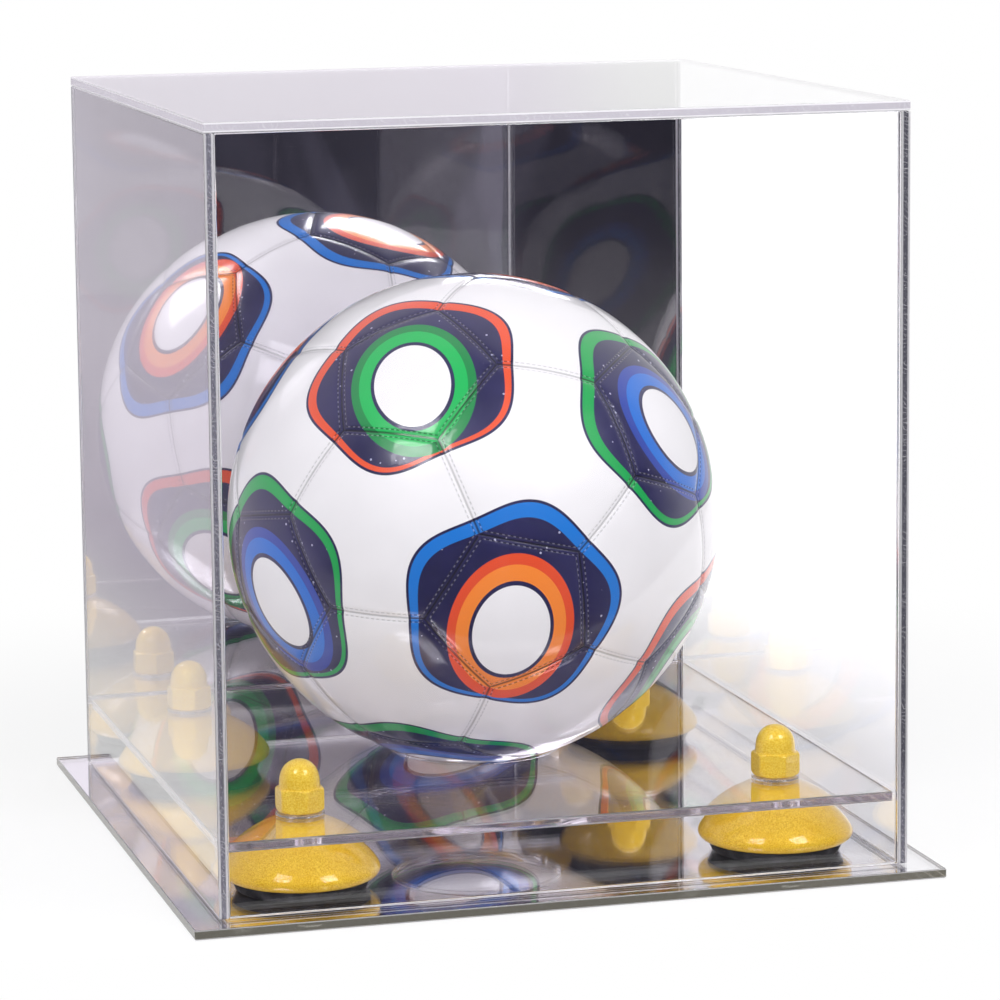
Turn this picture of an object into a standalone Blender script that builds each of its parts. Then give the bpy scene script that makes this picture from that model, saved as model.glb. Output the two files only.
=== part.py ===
"""Tabletop display case for one ball.

A mirror base carries four domed risers on rubber pads. A clear shelf lies on the risers, held by long screws
and acorn nuts, and the ball rests in the round hole of the shelf. A glued box of four clear sheets and a
mirror back drops over everything and lifts off in one piece. Lengths are in metres, +Z is up, the front
faces -Y, and the origin is under the middle of the base.
"""

import math

import bmesh
import bpy
from mathutils import Euler, Vector

# Clearances and tool lengths
GAP = 0.0003
EDGE_BREAK = 0.0004
OVERRUN = 0.002
WELD_DISTANCE = 0.000001

# Cover
COVER_WIDTH = 0.304
COVER_DEPTH = 0.304
COVER_HEIGHT = 0.330
CLEAR_SHEET = 0.0042
BACK_SHEET = 0.0042

# Base, which stands out past the cover by its margin on every side
BASE_MARGIN = 0.013
BASE_SHEET = 0.004

# Shelf
SHELF_SHEET = 0.0042
SHELF_CLEARANCE = 0.0012
SEAT_HOLE_DIAMETER = 0.0775

# Risers and their pads
RISER_INSET = 0.045
RISER_HEIGHT = 0.022
RISER_RIM_DIAMETER = 0.068
RISER_RIM_HEIGHT = 0.0034
RISER_FOOT_DIAMETER = 0.061
RISER_TOP_DIAMETER = 0.022
PAD_HEIGHT = 0.0045
PAD_TOP_DIAMETER = 0.060
PAD_BOTTOM_DIAMETER = 0.056

# Screws, washers and acorn nuts
SCREW_DIAMETER = 0.006
SCREW_HEAD_DIAMETER = 0.012
SCREW_HEAD_LAND = 0.0003
SCREW_SOCKET_FLATS = 0.004
SCREW_SOCKET_DEPTH = 0.0018
SCREW_NUT_ENGAGEMENT = 0.012
WASHER_DIAMETER = 0.021
WASHER_FLANGE = 0.001
WASHER_COLLAR_DIAMETER = 0.012
NUT_FLATS = 0.019
NUT_HEX_HEIGHT = 0.0105
NUT_HEIGHT = 0.0225
NUT_DOME_DIAMETER = 0.0176
NUT_BORE_END_ROOM = 0.001

# Ball
BALL_DIAMETER = 0.222
BALL_WALL = 0.0035
BLADDER_WALL = 0.0015
VALVE_DIAMETER = 0.010
VALVE_LENGTH = 0.016
VALVE_RECESS = 0.0006
VALVE_NEEDLE_HOLE = 0.002
VALVE_NEEDLE_DEPTH = 0.009
VALVE_TILT = math.radians(117)
VALVE_TURN = math.radians(13)

# How many flats stand for each round form
DISC_SIDES = 40
NUT_SIDES = 20
SCREW_SIDES = 12
HOLE_SIDES = 20
SEAT_SIDES = 72
BALL_SIDES = 40
BALL_RINGS = 20
LINING_RINGS = 8
HOLLOW_RINGS = 6
DOME_RINGS = 7
RIM_RINGS = 3
NUT_DOME_RINGS = 4
SMOOTH_ANGLE = math.radians(35)

# Heights that follow from the stack of pieces
PAD_FLOOR = BASE_SHEET + GAP
RISER_FLOOR = PAD_FLOOR + PAD_HEIGHT + GAP
SHELF_FLOOR = RISER_FLOOR + RISER_HEIGHT + GAP
SHELF_TOP = SHELF_FLOOR + SHELF_SHEET
WASHER_FLOOR = SHELF_TOP + GAP
NUT_FLOOR = WASHER_FLOOR + WASHER_FLANGE + GAP
COVER_FLOOR = BASE_SHEET + GAP
WALL_HEIGHT = COVER_HEIGHT - CLEAR_SHEET - GAP

# Places and fits that follow from the sizes above
BASE_WIDTH = COVER_WIDTH + 2 * BASE_MARGIN
BASE_DEPTH = COVER_DEPTH + 2 * BASE_MARGIN
RISER_X = COVER_WIDTH / 2 - RISER_INSET
RISER_Y = COVER_DEPTH / 2 - RISER_INSET
SHELF_WIDTH = COVER_WIDTH - 2 * (CLEAR_SHEET + SHELF_CLEARANCE)
SHELF_DEPTH = COVER_DEPTH - CLEAR_SHEET - BACK_SHEET - 2 * SHELF_CLEARANCE
SHELF_Y = (CLEAR_SHEET - BACK_SHEET) / 2
SCREW_BORE = SCREW_DIAMETER + 2 * GAP
SCREW_CONE_HEIGHT = (SCREW_HEAD_DIAMETER - SCREW_DIAMETER) / 2
COLLAR_HOLE = WASHER_COLLAR_DIAMETER + 2 * GAP
SEAT_RIM_RADIUS = SEAT_HOLE_DIAMETER / 2 + EDGE_BREAK
BALL_RADIUS = BALL_DIAMETER / 2
BALL_REACH = BALL_RADIUS + GAP
BALL_CENTRE = SHELF_TOP + math.sqrt(BALL_REACH ** 2 - SEAT_RIM_RADIUS ** 2)
VALVE_HOLE = VALVE_DIAMETER + 2 * GAP

CORNERS = {"fl": (-1, -1), "fr": (1, -1), "bl": (-1, 1), "br": (1, 1)}


def clear_scene():
    """Remove every object that is in the file."""
    for old in list(bpy.data.objects):
        bpy.data.objects.remove(old, do_unlink=True)


def finish(name, colour, roughness, metallic=0.0):
    """A Principled material with one colour, roughness and metallic value."""
    material = bpy.data.materials.new(name)
    material.use_nodes = True
    shader = material.node_tree.nodes["Principled BSDF"]
    shader.inputs["Base Color"].default_value = (*colour, 1.0)
    shader.inputs["Roughness"].default_value = roughness
    shader.inputs["Metallic"].default_value = metallic
    return material


def frame_empty(name, location):
    """An empty that carries the pieces of one moving group."""
    empty = bpy.data.objects.new(name, None)
    empty.location = location
    bpy.context.scene.collection.objects.link(empty)
    return empty


def place(name, mesh, material, location, parent=None):
    """Put a mesh in the scene as a named piece with its own material."""
    piece = bpy.data.objects.new(name, mesh)
    bpy.context.scene.collection.objects.link(piece)
    if not mesh.materials:
        mesh.materials.append(material)
    piece.location = location
    piece.parent = parent
    return piece


def finished_mesh(bm, name, smooth_angle=None):
    """Turn a bmesh into a mesh, rounded in shading where its faces meet at less than the angle."""
    bmesh.ops.recalc_face_normals(bm, faces=bm.faces)
    mesh = bpy.data.meshes.new(name)
    bm.to_mesh(mesh)
    bm.free()
    if smooth_angle is not None:
        mesh.shade_smooth()
        mesh.set_sharp_from_angle(angle=smooth_angle)
    return mesh


def spin_outline(bm, outline, sides, closed=False):
    """Add the surface that an outline of (radius, height) points sweeps in one full turn about Z."""
    corners = [bm.verts.new((radius, 0, height)) for radius, height in outline]
    ends = corners[1:] + corners[:1] if closed else corners[1:]
    edges = [bm.edges.new(pair) for pair in zip(corners, ends)]
    turn = 2 * math.pi
    bmesh.ops.spin(bm, geom=corners + edges, cent=(0, 0, 0), axis=(0, 0, 1), steps=sides, angle=turn)
    bmesh.ops.remove_doubles(bm, verts=bm.verts, dist=WELD_DISTANCE)


def turned_mesh(name, outline, sides, bored=False):
    """Spin an outline of (radius, height) points. A bored outline is a closed loop clear of the axis."""
    bm = bmesh.new()
    spin_outline(bm, outline, sides, closed=bored)
    return finished_mesh(bm, name, SMOOTH_ANGLE)


def block_mesh(name, size):
    """A block of the given size, centred in X and Y with its lowest face at zero."""
    bm = bmesh.new()
    bmesh.ops.create_cube(bm, size=1)
    bmesh.ops.scale(bm, vec=size, verts=bm.verts)
    bmesh.ops.translate(bm, vec=(0, 0, size[2] / 2), verts=bm.verts)
    return finished_mesh(bm, name)


def hexagon_mesh(name, flats, height):
    """A hexagonal prism measured across its flats, standing on zero."""
    bm = bmesh.new()
    corner = flats / 2 / math.cos(math.pi / 6)
    bmesh.ops.create_cone(bm, cap_ends=True, segments=6, radius1=corner, radius2=corner, depth=height)
    bmesh.ops.translate(bm, vec=(0, 0, height / 2), verts=bm.verts)
    return finished_mesh(bm, name)


def sheet(name, size, location, material, parent=None):
    """A flat sheet with its edges broken all round."""
    piece = place(name, block_mesh(name, size), material, location, parent)
    bevel = piece.modifiers.new("edge_break", "BEVEL")
    bevel.width = EDGE_BREAK
    bevel.segments = 1
    return piece


def combine(piece, tool, operation):
    """Cut, join or intersect a piece with a hidden tool body."""
    tool.hide_render = True
    tool.display_type = "WIRE"
    step = piece.modifiers.new(tool.name, "BOOLEAN")
    step.operation = operation
    step.object = tool
    step.solver = "EXACT"


def arc_points(start, end, steps):
    """Angles from start to end in equal steps, both ends included."""
    return [start + (end - start) * step / steps for step in range(steps + 1)]


def make_base(mirror):
    """Mirror sheet that the case stands on, countersunk from below for the four screws."""
    base = sheet("base_plate", (BASE_WIDTH, BASE_DEPTH, BASE_SHEET), (0, 0, 0), mirror)
    head = SCREW_HEAD_DIAMETER / 2 + GAP
    bore = SCREW_BORE / 2
    land_top = GAP + SCREW_HEAD_LAND
    outline = [
        (0, -OVERRUN),
        (head, -OVERRUN),
        (head, land_top),
        (bore, land_top + head - bore),
        (bore, BASE_SHEET + OVERRUN),
        (0, BASE_SHEET + OVERRUN),
    ]
    cutter_mesh = turned_mesh("countersink", outline, HOLE_SIDES)
    for tag, (side_x, side_y) in CORNERS.items():
        tool = place("countersink_" + tag, cutter_mesh, mirror, (side_x * RISER_X, side_y * RISER_Y, 0))
        combine(base, tool, "DIFFERENCE")


def through_hole_mesh(name, diameter, sides):
    """Cutter for a hole through the shelf that breaks the edge on both faces."""
    radius = diameter / 2
    flare = radius + EDGE_BREAK + OVERRUN
    outline = [
        (0, -OVERRUN),
        (flare, -OVERRUN),
        (radius, EDGE_BREAK),
        (radius, SHELF_SHEET - EDGE_BREAK),
        (flare, SHELF_SHEET + OVERRUN),
        (0, SHELF_SHEET + OVERRUN),
    ]
    return turned_mesh(name, outline, sides)


def make_shelf(clear):
    """Clear sheet on the risers with the ball's seat hole in its middle and a hole for each washer collar."""
    shelf = sheet("shelf", (SHELF_WIDTH, SHELF_DEPTH, SHELF_SHEET), (0, SHELF_Y, SHELF_FLOOR), clear)
    seat_mesh = through_hole_mesh("seat_cut", SEAT_HOLE_DIAMETER, SEAT_SIDES)
    combine(shelf, place("seat_cut", seat_mesh, clear, (0, 0, SHELF_FLOOR)), "DIFFERENCE")
    hole_mesh = through_hole_mesh("collar_cut", COLLAR_HOLE, HOLE_SIDES)
    for tag, (side_x, side_y) in CORNERS.items():
        tool = place("collar_cut_" + tag, hole_mesh, clear, (side_x * RISER_X, side_y * RISER_Y, SHELF_FLOOR))
        combine(shelf, tool, "DIFFERENCE")


def pad_mesh():
    """Rubber disc, narrower at the bottom, with a bore for the screw."""
    top = PAD_TOP_DIAMETER / 2
    bottom = PAD_BOTTOM_DIAMETER / 2
    bore = SCREW_BORE / 2
    outline = [
        (bore, 0),
        (bottom - EDGE_BREAK, 0),
        (bottom, EDGE_BREAK),
        (top, PAD_HEIGHT - EDGE_BREAK),
        (top - EDGE_BREAK, PAD_HEIGHT),
        (bore, PAD_HEIGHT),
    ]
    return turned_mesh("pad", outline, DISC_SIDES, bored=True)


def riser_mesh():
    """Domed disc: a quarter round up to the widest circle, then part of an ellipse up to a flat top."""
    rim = RISER_RIM_DIAMETER / 2
    foot = RISER_FOOT_DIAMETER / 2
    top = RISER_TOP_DIAMETER / 2
    bore = SCREW_BORE / 2
    end_angle = math.acos(top / rim)
    rise = (RISER_HEIGHT - RISER_RIM_HEIGHT) / math.sin(end_angle)
    outline = [(bore, 0)]
    for angle in arc_points(math.pi / 2, 0, RIM_RINGS)[:-1]:
        outline.append((foot + (rim - foot) * math.cos(angle), RISER_RIM_HEIGHT * (1 - math.sin(angle))))
    for angle in arc_points(0, end_angle, DOME_RINGS):
        outline.append((rim * math.cos(angle), RISER_RIM_HEIGHT + rise * math.sin(angle)))
    outline.append((bore, RISER_HEIGHT))
    return turned_mesh("riser", outline, DISC_SIDES, bored=True)


def washer_mesh():
    """Clear washer whose collar drops into the shelf's hole and whose flange lies under the nut."""
    flange = WASHER_DIAMETER / 2
    collar = WASHER_COLLAR_DIAMETER / 2
    bore = SCREW_BORE / 2
    collar_length = GAP + SHELF_SHEET
    outline = [
        (bore, -collar_length),
        (collar, -collar_length),
        (collar, -GAP / 2),
        (collar + EDGE_BREAK + GAP, 0),
        (flange, 0),
        (flange, WASHER_FLANGE),
        (bore, WASHER_FLANGE),
    ]
    return turned_mesh("washer", outline, NUT_SIDES, bored=True)


def screw_mesh():
    """Flat-head screw standing on its head, with a hexagon socket in the head."""
    head = SCREW_HEAD_DIAMETER / 2
    shank = SCREW_DIAMETER / 2
    length = NUT_FLOOR + SCREW_NUT_ENGAGEMENT - GAP
    outline = [
        (0, 0),
        (head, 0),
        (head, SCREW_HEAD_LAND),
        (shank, SCREW_HEAD_LAND + SCREW_CONE_HEIGHT),
        (shank, length - EDGE_BREAK),
        (shank - EDGE_BREAK, length),
        (0, length),
    ]
    return turned_mesh("screw", outline, SCREW_SIDES)


def nut_meshes():
    """The hexagon, the cone that rounds its corners, the dome and the blind bore of an acorn nut."""
    hexagon = hexagon_mesh("nut_hexagon", NUT_FLATS, NUT_HEX_HEIGHT)
    flat = NUT_FLATS / 2
    corner = flat / math.cos(math.pi / 6)
    drop = (corner - flat) / 2
    rounding = [
        (0, 0),
        (flat, 0),
        (corner, drop),
        (corner, NUT_HEX_HEIGHT - drop),
        (flat, NUT_HEX_HEIGHT),
        (0, NUT_HEX_HEIGHT),
    ]
    dome_radius = NUT_DOME_DIAMETER / 2
    shoulder = NUT_HEIGHT - dome_radius
    dome = [(0, NUT_HEX_HEIGHT / 2), (dome_radius, NUT_HEX_HEIGHT / 2)]
    for angle in arc_points(0, math.pi / 2, NUT_DOME_RINGS):
        dome.append((dome_radius * math.cos(angle), shoulder + dome_radius * math.sin(angle)))
    dome[-1] = (0, NUT_HEIGHT)
    bore = SCREW_BORE / 2
    bore_end = SCREW_NUT_ENGAGEMENT + NUT_BORE_END_ROOM
    cut = [(0, -OVERRUN), (bore, -OVERRUN), (bore, bore_end), (0, bore_end)]
    return (
        hexagon,
        turned_mesh("nut_rounding", rounding, NUT_SIDES),
        turned_mesh("nut_dome", dome, NUT_SIDES),
        turned_mesh("nut_bore", cut, SCREW_SIDES),
    )


def make_corner(tag, meshes, finishes):
    """One corner post: pad, riser, screw, washer and acorn nut on one axis."""
    side_x, side_y = CORNERS[tag]
    x = side_x * RISER_X
    y = side_y * RISER_Y
    place("foot_pad_" + tag, meshes["pad"], finishes["rubber"], (x, y, PAD_FLOOR))
    place("riser_" + tag, meshes["riser"], finishes["gold"], (x, y, RISER_FLOOR))
    place("washer_" + tag, meshes["washer"], finishes["nylon"], (x, y, WASHER_FLOOR))
    screw = place("screw_" + tag, meshes["screw"], finishes["steel"], (x, y, GAP))
    socket = place("socket_cut_" + tag, meshes["socket"], finishes["steel"], (x, y, GAP - OVERRUN))
    combine(screw, socket, "DIFFERENCE")
    hexagon, rounding, dome, bore = meshes["nut"]
    nut = place("cap_nut_" + tag, hexagon, finishes["gold"], (x, y, NUT_FLOOR))
    combine(nut, place("rounding_cut_" + tag, rounding, finishes["gold"], nut.location), "INTERSECT")
    combine(nut, place("dome_join_" + tag, dome, finishes["gold"], nut.location), "UNION")
    combine(nut, place("bore_cut_" + tag, bore, finishes["gold"], nut.location), "DIFFERENCE")


def make_corners(finishes):
    """The four corner posts share their meshes."""
    meshes = {
        "pad": pad_mesh(),
        "riser": riser_mesh(),
        "washer": washer_mesh(),
        "screw": screw_mesh(),
        "socket": hexagon_mesh("socket", SCREW_SOCKET_FLATS, SCREW_SOCKET_DEPTH + OVERRUN),
        "nut": nut_meshes(),
    }
    for tag in CORNERS:
        make_corner(tag, meshes, finishes)


def make_cover(clear, mirror):
    """Box of five glued sheets. The sides run past the front sheet, and top and back lie over their edges."""
    cover = frame_empty("cover_frame", (0, 0, COVER_FLOOR))
    half_width = COVER_WIDTH / 2
    half_depth = COVER_DEPTH / 2
    top_size = (COVER_WIDTH, COVER_DEPTH, CLEAR_SHEET)
    sheet("cover_top", top_size, (0, 0, COVER_HEIGHT - CLEAR_SHEET), clear, cover)
    front_size = (COVER_WIDTH - 2 * (CLEAR_SHEET + GAP), CLEAR_SHEET, WALL_HEIGHT)
    sheet("cover_front", front_size, (0, CLEAR_SHEET / 2 - half_depth, 0), clear, cover)
    back_size = (COVER_WIDTH, BACK_SHEET, WALL_HEIGHT)
    sheet("cover_back", back_size, (0, half_depth - BACK_SHEET / 2, 0), mirror, cover)
    side_depth = COVER_DEPTH - BACK_SHEET - GAP
    side_y = side_depth / 2 - half_depth
    for name, side in (("cover_left", -1), ("cover_right", 1)):
        side_size = (CLEAR_SHEET, side_depth, WALL_HEIGHT)
        sheet(name, side_size, (side * (half_width - CLEAR_SHEET / 2), side_y, 0), clear, cover)


def skin_outline(radius, opening, rings):
    """Arc of (radius, height) points from a hole at the top of a sphere down to its lowest point."""
    angles = arc_points(math.asin(opening / radius), math.pi, rings)[:-1]
    return [(radius * math.sin(angle), radius * math.cos(angle)) for angle in angles] + [(0, -radius)]


def shell_mesh(name, outer, inner, opening, outer_rings, inner_rings):
    """A hollow ball with one hole, spun as an outer and an inner skin and bridged round the hole."""
    bm = bmesh.new()
    for radius, rings in ((outer, outer_rings), (inner, inner_rings)):
        spin_outline(bm, skin_outline(radius, opening, rings), BALL_SIDES)
    open_edges = [edge for edge in bm.edges if edge.is_boundary]
    bmesh.ops.bridge_loops(bm, edges=open_edges)
    return finished_mesh(bm, name, SMOOTH_ANGLE)


def valve_mesh():
    """Rubber plug with a blind hole for the pump's needle, its outer face at zero."""
    radius = VALVE_DIAMETER / 2
    needle = VALVE_NEEDLE_HOLE / 2
    outline = [
        (0, -VALVE_LENGTH),
        (radius, -VALVE_LENGTH),
        (radius, -EDGE_BREAK),
        (radius - EDGE_BREAK, 0),
        (needle, 0),
        (needle, -VALVE_NEEDLE_DEPTH),
        (0, -VALVE_NEEDLE_DEPTH),
    ]
    return turned_mesh("ball_valve", outline, NUT_SIDES)


def make_ball(finishes):
    """Stitched cover, bladder and valve, turned so that the valve points down to the right."""
    ball = frame_empty("ball_frame", (0, 0, BALL_CENTRE))
    opening = VALVE_HOLE / 2
    inner = BALL_RADIUS - BALL_WALL
    cover_mesh = shell_mesh("ball_cover", BALL_RADIUS, inner, opening, BALL_RINGS, LINING_RINGS)
    bladder_outer = inner - GAP
    bladder_inner = bladder_outer - BLADDER_WALL
    bladder = shell_mesh("ball_bladder", bladder_outer, bladder_inner, opening, LINING_RINGS, HOLLOW_RINGS)
    valve_way = Vector((0, 0, BALL_RADIUS - VALVE_RECESS))
    valve_way.rotate(Euler((0, VALVE_TILT, VALVE_TURN)))
    for name, mesh, material, location in (
        ("ball_cover", cover_mesh, finishes["leather"], (0, 0, 0)),
        ("ball_bladder", bladder, finishes["bladder"], (0, 0, 0)),
        ("ball_valve", valve_mesh(), finishes["rubber"], valve_way),
    ):
        piece = place(name, mesh, material, location, ball)
        piece.rotation_euler = (0, VALVE_TILT, VALVE_TURN)


def build():
    """Make every piece of the case."""
    clear_scene()
    finishes = {
        "gold": finish("gold_lacquer", (0.78, 0.46, 0.04), 0.18),
        "rubber": finish("black_rubber", (0.017, 0.015, 0.018), 0.55),
        "nylon": finish("clear_nylon", (0.82, 0.82, 0.84), 0.2),
        "steel": finish("zinc_steel", (0.62, 0.62, 0.62), 0.3, 1.0),
        "leather": finish("ball_leather", (0.85, 0.85, 0.86), 0.3),
        "bladder": finish("bladder_rubber", (0.35, 0.12, 0.08), 0.6),
    }
    clear = finish("clear_acrylic", (0.87, 0.86, 0.9), 0.03)
    mirror = finish("acrylic_mirror", (0.8, 0.8, 0.8), 0.02, 1.0)
    make_base(mirror)
    make_shelf(clear)
    make_corners(finishes)
    make_cover(clear, mirror)
    make_ball(finishes)


build()
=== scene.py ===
import math

import bmesh
import bpy
import numpy as np
from mathutils import Matrix, Vector


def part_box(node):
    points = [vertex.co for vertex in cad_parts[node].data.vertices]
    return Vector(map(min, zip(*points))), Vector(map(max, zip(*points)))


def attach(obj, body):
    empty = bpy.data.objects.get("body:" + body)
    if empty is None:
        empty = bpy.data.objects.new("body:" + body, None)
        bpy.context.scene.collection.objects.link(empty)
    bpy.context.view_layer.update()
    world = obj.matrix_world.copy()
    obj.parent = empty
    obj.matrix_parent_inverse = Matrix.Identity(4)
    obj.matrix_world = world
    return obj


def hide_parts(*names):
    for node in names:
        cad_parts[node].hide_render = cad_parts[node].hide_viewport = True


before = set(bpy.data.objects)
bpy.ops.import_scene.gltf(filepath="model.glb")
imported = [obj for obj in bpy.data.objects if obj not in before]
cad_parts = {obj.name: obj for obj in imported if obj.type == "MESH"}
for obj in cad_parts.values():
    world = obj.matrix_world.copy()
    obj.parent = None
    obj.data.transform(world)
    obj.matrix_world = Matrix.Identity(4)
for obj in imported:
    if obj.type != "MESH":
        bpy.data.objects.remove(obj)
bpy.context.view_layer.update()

# Mirror base. A square of 4 mm clear acrylic, silvered underneath with grey paint over the silver. Its edge
# is left as the saw leaves it, and four countersunk holes from below take the screws of the corner posts.
WELD = 0.000001
BASE_HALF = 0.165
BASE_SHEET = 0.004
SILVER_FILM = 0.00012
FILM_GAP = 0.00003
EDGE_BREAK = 0.0004
FILM_BREAK = 0.00001
DRILL_OVER = 0.002
HEAD_HOLE = 0.0063
SHANK_HOLE = 0.0033
POST = 0.107
POSTS = {"fl": (-POST, -POST), "fr": (POST, -POST), "bl": (-POST, POST), "br": (POST, POST)}


def paint(red, green, blue):
    """A colour as a screen shows it, 0 to 255, turned into the linear values that a shader reads."""
    share = np.array([red, green, blue]) / 255
    linear = np.where(share <= 0.04045, share / 12.92, ((share + 0.055) / 1.055) ** 2.4)
    return (*linear.tolist(), 1.0)


def node(tree, kind, feeds=None, **settings):
    """Add a shader node. Its inputs go by name or number: a socket is linked, and a value is set."""
    made = tree.nodes.new("ShaderNode" + kind)
    for name, value in settings.items():
        setattr(made, name, value)
    for name, value in (feeds or {}).items():
        if isinstance(value, bpy.types.NodeSocket):
            tree.links.new(value, made.inputs[name])
        else:
            made.inputs[name].default_value = value
    return made


def maths(tree, operation, *values):
    """Result of one Math node on sockets or numbers."""
    return node(tree, "Math", dict(enumerate(values)), operation=operation).outputs[0]


def noise(tree, vector, scale, detail, **more):
    """Noise from 0 to 1 at a place in space, with any other input of its node by name."""
    feeds = {"Vector": vector, "Scale": scale, "Detail": detail, **more}
    return node(tree, "TexNoise", feeds).outputs[0]


def step_up(tree, value, low, high, start=0.0, end=1.0):
    """Smooth step from start to end while the value goes from low to high."""
    feeds = {"Value": value, "From Min": low, "From Max": high, "To Min": start, "To Max": end}
    return node(tree, "MapRange", feeds, interpolation_type="SMOOTHSTEP").outputs["Result"]


def blend_colours(tree, share, first, second):
    """The first colour where share is 0 and the second where it is 1."""
    return node(tree, "Mix", {0: share, 6: first, 7: second}, data_type="RGBA").outputs[2]


def emboss(tree, shader, height, strength, distance):
    """Bend the light on a shader's surface as relief of the given height would."""
    feeds = {"Height": height, "Strength": strength, "Distance": distance}
    tree.links.new(node(tree, "Bump", feeds).outputs[0], shader.inputs["Normal"])


def new_material(name, feeds):
    """A Principled material with plain values. Returns the material, its node tree and its shader."""
    material = bpy.data.materials.new(name)
    material.use_nodes = True
    tree = material.node_tree
    shader = tree.nodes["Principled BSDF"]
    for socket, value in feeds.items():
        shader.inputs[socket].default_value = value
    return material, tree, shader


def new_group(name, inputs, outputs):
    """A node group with named number or vector inputs and number outputs."""
    tree = bpy.data.node_groups.new(name, "ShaderNodeTree")
    for socket, value in inputs.items():
        kind = "NodeSocketVector" if isinstance(value, tuple) else "NodeSocketFloat"
        tree.interface.new_socket(socket, in_out="INPUT", socket_type=kind).default_value = value
    for socket in outputs:
        tree.interface.new_socket(socket, in_out="OUTPUT", socket_type="NodeSocketFloat")
    return tree, tree.nodes.new("NodeGroupInput").outputs, tree.nodes.new("NodeGroupOutput").inputs


def place_group(tree, group, feeds):
    """Put a node group in a material with its own values and links. Returns its outputs."""
    placed = tree.nodes.new("ShaderNodeGroup")
    placed.node_tree = group
    for name, value in feeds.items():
        if isinstance(value, bpy.types.NodeSocket):
            tree.links.new(value, placed.inputs[name])
        else:
            placed.inputs[name].default_value = value
    return placed.outputs


def grid_mesh(name, points, wrap_rows=False):
    """Faces over a grid of points. The columns run once round, and the rows too where wrap_rows is set."""
    rows, columns = points.shape[:2]
    index = np.arange(rows * columns).reshape(rows, columns)
    index = np.hstack((index, index[:, :1]))
    if wrap_rows:
        index = np.vstack((index, index[:1]))
    quads = np.stack((index[:-1, :-1], index[1:, :-1], index[1:, 1:], index[:-1, 1:]), axis=-1)
    mesh = bpy.data.meshes.new(name)
    mesh.from_pydata(points.reshape(-1, 3).tolist(), [], quads.reshape(-1, 4).tolist())
    return mesh


def face_values(mesh, name):
    """One vector for each face of a mesh, such as its normal or its center."""
    values = np.empty(len(mesh.polygons) * 3)
    mesh.polygons.foreach_get(name, values)
    return values.reshape(-1, 3)


def close_up(mesh, sharp=35, flats=True):
    """Merge doubled points at poles and seams, turn every face outwards, and shade smooth up to an angle.
    With flats set, faces that look straight along an axis stay flat, so an eased edge doesn't bend them."""
    bm = bmesh.new()
    bm.from_mesh(mesh)
    bmesh.ops.remove_doubles(bm, verts=bm.verts, dist=WELD)
    bmesh.ops.recalc_face_normals(bm, faces=bm.faces)
    bm.to_mesh(mesh)
    bm.free()
    mesh.shade_smooth()
    mesh.set_sharp_from_angle(angle=math.radians(sharp))
    if flats:
        straight = np.abs(face_values(mesh, "normal")).max(axis=1) > 0.99999
        mesh.polygons.foreach_set("use_smooth", ~straight)
    return mesh


def eased(corners, ease):
    """Closed profile with soft corners: at each one a parabola runs from ease before it to ease after it."""
    corners = np.array(corners, float)
    before = np.roll(corners, 1, axis=0) - corners
    after = np.roll(corners, -1, axis=0) - corners
    ease = np.broadcast_to(np.asarray(ease, float), len(corners))[:, None]
    start = corners + before / np.linalg.norm(before, axis=1, keepdims=True) * ease
    end = corners + after / np.linalg.norm(after, axis=1, keepdims=True) * ease
    share = np.linspace(0, 1, 5)[None, :, None]
    middle = 2 * share * (1 - share) * corners[:, None]
    return ((1 - share) ** 2 * start[:, None] + middle + share ** 2 * end[:, None]).reshape(-1, 2)


def turned(profile, sides, place, floor=0.0):
    """Points that a profile of (radius, height) sweeps in one turn about an upright axis."""
    radius, height = np.asarray(profile, float).T
    turn = np.arange(sides) * 2 * np.pi / sides
    x = place[0] + np.outer(radius, np.cos(turn))
    y = place[1] + np.outer(radius, np.sin(turn))
    z = floor + np.repeat(height[:, None], sides, axis=1)
    return np.stack((x, y, z), axis=-1)


def panel_mesh(name, low, high, thin, ease=EDGE_BREAK):
    """A rectangular sheet between two corners, thin along one axis (0, 1 or 2). Each row of points is an
    outline with its four corners broken, and the rows run from the middle of one broad face out over the
    eased edge to the middle of the other."""
    low, high = np.array(low), np.array(high)
    half = (high - low) / 2
    first, second = [axis for axis in range(3) if axis != thin]
    share = np.linspace(0, 1, 4)
    inset = np.concatenate((ease * (1 - share) ** 2, ease * share ** 2))[:, None]
    depth = np.concatenate((half[thin] - ease * share ** 2, ease * (1 - share) ** 2 - half[thin]))
    short = np.array([0, 0, 1, 1, 0, 0, 1, 1]) * ease
    points = np.zeros((len(depth) + 2, 8, 3))
    points[1:-1, :, first] = np.array([1, 1, 1, -1, -1, -1, -1, 1]) * (half[first] - inset - short)
    points[1:-1, :, second] = np.array([-1, 1, 1, 1, 1, -1, -1, -1]) * (half[second] - inset - ease + short)
    points[:, :, thin] = np.concatenate(([half[thin]], depth, [-half[thin]]))[:, None]
    return close_up(grid_mesh(name, points + (low + high) / 2))


def hole_tool(place, radius, floor, top, ease=0.0):
    """Tool for one round hole, wider by ease where the hole's rims are softened above and below."""
    share = np.linspace(0, 1, 5)
    flare = radius + ease * (1 - share) ** 2
    rise = ease * share ** 2
    radii = np.concatenate(([0, flare[0]], flare, flare[::-1], [flare[0], 0]))
    low, high = [floor - DRILL_OVER] * 2, [top + DRILL_OVER] * 2
    heights = np.concatenate((low, floor + rise, top - rise[::-1], high))
    profile = np.stack((radii, heights), axis=-1)
    return close_up(grid_mesh("tool", turned(profile, 128 if ease else 64, place)))


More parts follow.
